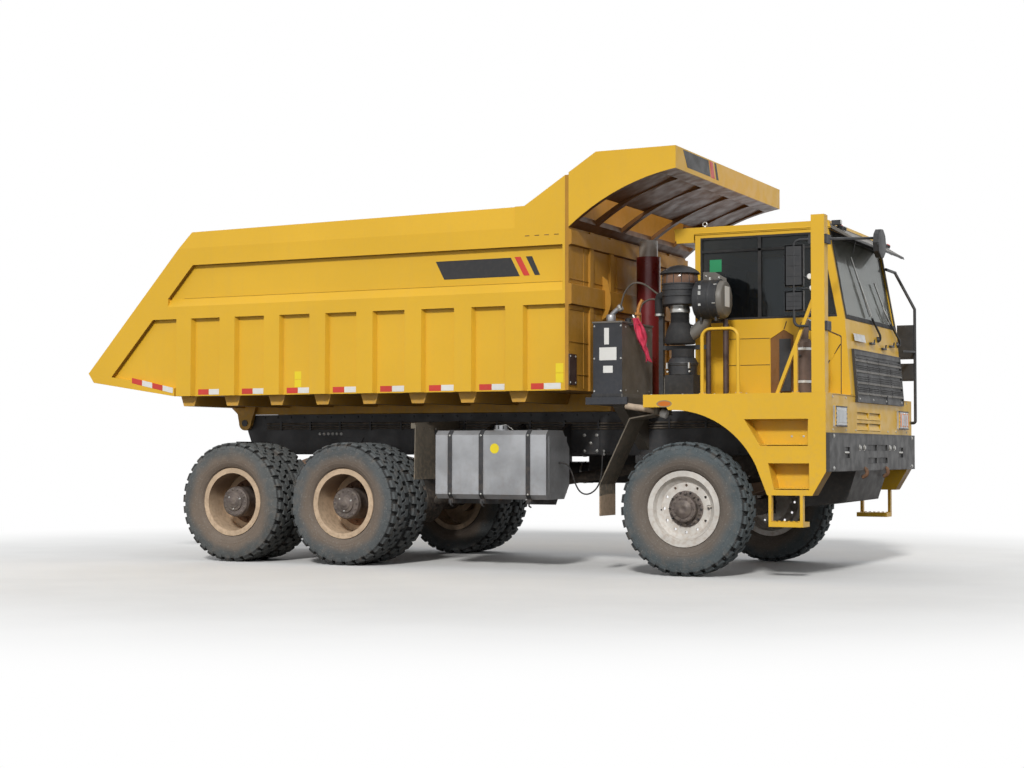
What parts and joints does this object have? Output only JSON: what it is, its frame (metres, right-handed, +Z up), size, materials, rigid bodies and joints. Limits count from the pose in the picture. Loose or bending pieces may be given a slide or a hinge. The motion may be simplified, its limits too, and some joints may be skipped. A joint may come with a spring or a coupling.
{
  "type": "mining dump truck",
  "caption": "Wide-body rear-tipping mining dump truck with a ribbed box, canopy over the cab, telescopic hoist, steered front wheels and dual rear wheels.",
  "frame": {"origin": "on the ground under the middle of the overall length and width", "axes": "+X forward along the truck, +Y to its left, +Z up"},
  "size_m": [9.42, 3.408, 4.387],
  "materials": {
    "yellow_paint": "worn gloss",
    "chassis_paint": "satin",
    "spring_steel": "dusty",
    "engine_iron": "matt",
    "tyre_rubber": "dusty",
    "front_rim_paint": "satin",
    "rear_rim_paint": "satin",
    "tank_aluminium": "brushed",
    "grey_paint": "satin",
    "black_plastic": "matt",
    "guard_rubber": "dusty",
    "lamp_lens": "gloss",
    "window_glass": "gloss",
    "seat_fabric": "woven",
    "silencer_paint": "heat-dulled",
    "barrel_paint": "gloss",
    "stage_chrome": "polished"
  },
  "bodies": {
    "root": {"air_cleaner": "black_plastic", "air_tanks": "tank_aluminium", "battery_box": "grey_paint", "bumper": "chassis_paint", "cab_glass": "window_glass", "cab_roof": "yellow_paint", "cab_shell": "yellow_paint", "chassis_frame": "chassis_paint", "corner_post": "yellow_paint", "cross_members": "chassis_paint", "dashboard": "black_plastic", "deck_left": "yellow_paint", "deck_rails": "yellow_paint", "deck_right": "yellow_paint", "engine_block": "engine_iron", "front_axle": "chassis_paint", "front_panel": "yellow_paint", "front_springs": "spring_steel", "fuel_tank": "tank_aluminium", "grille": "black_plastic", "headlamps": "lamp_lens", "hydraulic_tank": "grey_paint", "left_handrail": "black_plastic", "mirrors": "black_plastic", "mud_guards": "guard_rubber", "propeller_shaft": "chassis_paint", "radiator": "chassis_paint", "rear_axles": "chassis_paint", "seats": "seat_fabric", "silencer": "silencer_paint", "sun_visor": "black_plastic", "tandem_springs": "spring_steel", "tank_brackets": "chassis_paint", "trunnion": "chassis_paint"},
    "knuckle_left": {"knuckle_left": "chassis_paint"},
    "knuckle_right": {"knuckle_right": "chassis_paint"},
    "wheel_front_left": {"tyre_front_left": "tyre_rubber", "rim_front_left": "front_rim_paint"},
    "wheel_front_right": {"tyre_front_right": "tyre_rubber", "rim_front_right": "front_rim_paint"},
    "wheels_middle_left": {"tyres_middle_left": "tyre_rubber", "rims_middle_left": "rear_rim_paint"},
    "wheels_middle_right": {"tyres_middle_right": "tyre_rubber", "rims_middle_right": "rear_rim_paint"},
    "wheels_rear_left": {"tyres_rear_left": "tyre_rubber", "rims_rear_left": "rear_rim_paint"},
    "wheels_rear_right": {"tyres_rear_right": "tyre_rubber", "rims_rear_right": "rear_rim_paint"},
    "door_left": {"cab_door": "yellow_paint"},
    "dump_box": {"box_floor": "yellow_paint", "box_sides": "yellow_paint", "box_headboard": "yellow_paint", "box_canopy": "yellow_paint"},
    "barrel": {"hoist_barrel": "barrel_paint"},
    "stage_1": {"hoist_stage_1": "stage_chrome"},
    "stage_2": {"hoist_stage_2": "stage_chrome"},
    "stage_3": {"hoist_stage_3": "stage_chrome"}
  },
  "joints": [
    {"name": "steer_left", "type": "hinge", "parent": "root", "child": "knuckle_left", "pos_m": [2.86, 1.15, 0.685], "axis": [0, 0, 1], "range_deg": [-32, 32]},
    {"name": "steer_right", "type": "hinge", "parent": "root", "child": "knuckle_right", "pos_m": [2.86, -1.15, 0.685], "axis": [0, 0, 1], "range_deg": [-32, 32]},
    {"name": "wheel_front_left_roll", "type": "hinge", "parent": "knuckle_left", "child": "wheel_front_left", "pos_m": [2.86, 1.4, 0.685], "axis": [0, 1, 0], "continuous": true},
    {"name": "wheel_front_right_roll", "type": "hinge", "parent": "knuckle_right", "child": "wheel_front_right", "pos_m": [2.86, -1.4, 0.685], "axis": [0, 1, 0], "continuous": true},
    {"name": "wheels_middle_left_roll", "type": "hinge", "parent": "root", "child": "wheels_middle_left", "pos_m": [-1.14, 1.294, 0.685], "axis": [0, 1, 0], "continuous": true},
    {"name": "wheels_middle_right_roll", "type": "hinge", "parent": "root", "child": "wheels_middle_right", "pos_m": [-1.14, -1.294, 0.685], "axis": [0, 1, 0], "continuous": true},
    {"name": "wheels_rear_left_roll", "type": "hinge", "parent": "root", "child": "wheels_rear_left", "pos_m": [-2.64, 1.294, 0.685], "axis": [0, 1, 0], "continuous": true},
    {"name": "wheels_rear_right_roll", "type": "hinge", "parent": "root", "child": "wheels_rear_right", "pos_m": [-2.64, -1.294, 0.685], "axis": [0, 1, 0], "continuous": true},
    {"name": "door_left_swing", "type": "hinge", "parent": "root", "child": "door_left", "pos_m": [4.254, 1.316, 2.7], "axis": [0, 0, -1], "range_deg": [0, 70]},
    {"name": "box_tip", "type": "hinge", "parent": "root", "child": "dump_box", "pos_m": [-3.23, 0, 1.61], "axis": [0, -1, 0], "range_deg": [0, 45]},
    {"name": "barrel_lean", "type": "hinge", "parent": "dump_box", "child": "barrel", "pos_m": [1.86, 0, 2], "axis": [0, 1, 0], "range_deg": [0, 23]},
    {"name": "stage_1_slide", "type": "slide", "parent": "barrel", "child": "stage_1", "axis": [0, 0, -1], "range_m": [0, 1.3]},
    {"name": "stage_2_slide", "type": "slide", "parent": "stage_1", "child": "stage_2", "axis": [0, 0, -1], "range_m": [0, 1.3]},
    {"name": "stage_3_slide", "type": "slide", "parent": "stage_2", "child": "stage_3", "axis": [0, 0, -1], "range_m": [0, 1.3]}
  ],
  "couplings": [
    {"joint": "steer_right", "follows": "steer_left", "ratio": 1},
    {"joint": "barrel_lean", "follows": "box_tip", "ratio": 0.48029},
    {"joint": "stage_1_slide", "follows": "box_tip", "m_per_rad": 1.6342},
    {"joint": "stage_2_slide", "follows": "box_tip", "m_per_rad": 1.6342},
    {"joint": "stage_3_slide", "follows": "box_tip", "m_per_rad": 1.6342}
  ]
}
